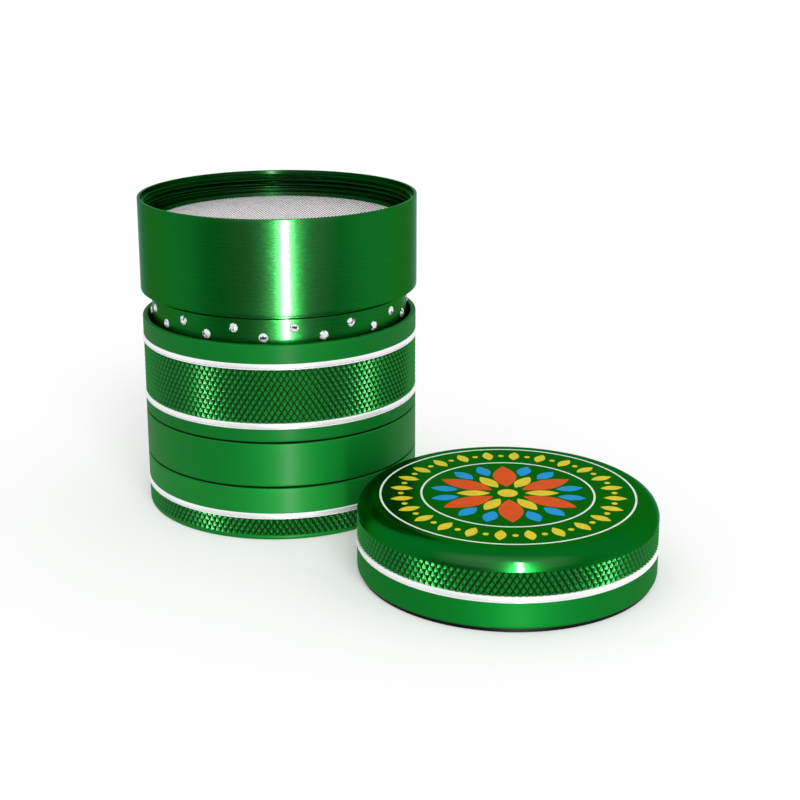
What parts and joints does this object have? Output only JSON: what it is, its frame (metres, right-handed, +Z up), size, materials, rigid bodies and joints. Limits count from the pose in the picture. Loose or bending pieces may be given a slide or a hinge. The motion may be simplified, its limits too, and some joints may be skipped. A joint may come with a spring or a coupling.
{
  "type": "herb grinder",
  "caption": "Stack of threaded metal chambers with a crystal-set neck, fine screens, bright bands and knurled grips, with a toothed magnetic lid lying beside it.",
  "frame": {"origin": "centre of the base cup's flat underside", "axes": "+Z up along the stack's axis, +X to the right towards the lid, -Y to the front"},
  "size_m": [0.113, 0.1074, 0.0713],
  "materials": {
    "anodised": "green anodised, fine turned",
    "bright": "bright turned",
    "screen": "woven wire",
    "seal": "matte",
    "glide": "smooth nylon",
    "magnet": "nickel plated",
    "crystal": "cut and faceted",
    "print_white": "thin printed ink",
    "print_yellow": "thin printed ink",
    "print_orange": "thin printed ink",
    "print_blue": "thin printed ink"
  },
  "bodies": {
    "base": {"base_cup": "anodised", "base_band": "bright"},
    "base_joint_seal": {"base_seal": "seal"},
    "catch": {"catch_ring": "anodised", "catch_screen": "screen", "catch_screen_ring": "bright"},
    "catch_joint_seal": {"catch_seal": "seal"},
    "chamber": {"chamber_body": "anodised", "chamber_teeth": "anodised", "chamber_band_lower": "bright", "chamber_band_upper": "bright", "chamber_magnet": "magnet"},
    "chamber_joint_seal": {"chamber_seal": "seal"},
    "top": {"top_ring": "anodised", "top_screen": "screen", "top_screen_ring": "anodised", "crystals": "crystal"},
    "lid_glide": {"lid_glide_ring": "glide"},
    "lid": {"lid_shell": "anodised", "lid_teeth": "anodised", "lid_band": "bright", "lid_magnet": "magnet"}
  },
  "joints": [
    {"name": "catch_rise", "type": "slide", "parent": "base", "child": "base_joint_seal", "axis": [0, 0, 1], "range_m": [0, 0.0042]},
    {"name": "catch_turn", "type": "hinge", "parent": "base_joint_seal", "child": "catch", "pos_m": [0, 0, 0.012], "axis": [0, 0, 1], "range_deg": [0, 1350]},
    {"name": "chamber_rise", "type": "slide", "parent": "catch", "child": "catch_joint_seal", "axis": [0, 0, 1], "range_m": [0, 0.0042]},
    {"name": "chamber_turn", "type": "hinge", "parent": "catch_joint_seal", "child": "chamber", "pos_m": [0, 0, 0.0222], "axis": [0, 0, 1], "range_deg": [0, 1350]},
    {"name": "top_rise", "type": "slide", "parent": "chamber", "child": "chamber_joint_seal", "axis": [0, 0, 1], "range_m": [0, 0.0042]},
    {"name": "top_turn", "type": "hinge", "parent": "chamber_joint_seal", "child": "top", "pos_m": [0, 0, 0.041], "axis": [0, 0, 1], "range_deg": [0, 1350]},
    {"name": "lid_lift", "type": "slide", "parent": "base", "child": "lid_glide", "axis": [0, 0, 1], "range_m": [0, 0.06]},
    {"name": "lid_spin", "type": "hinge", "parent": "lid_glide", "child": "lid", "pos_m": [0.05003, -0.04442, 0], "axis": [0, 0, 1], "continuous": true}
  ],
  "couplings": [
    {"joint": "catch_rise", "follows": "catch_turn", "m_per_rad": 0.00017507},
    {"joint": "chamber_rise", "follows": "chamber_turn", "m_per_rad": 0.00017507},
    {"joint": "top_rise", "follows": "top_turn", "m_per_rad": 0.00017507}
  ]
}
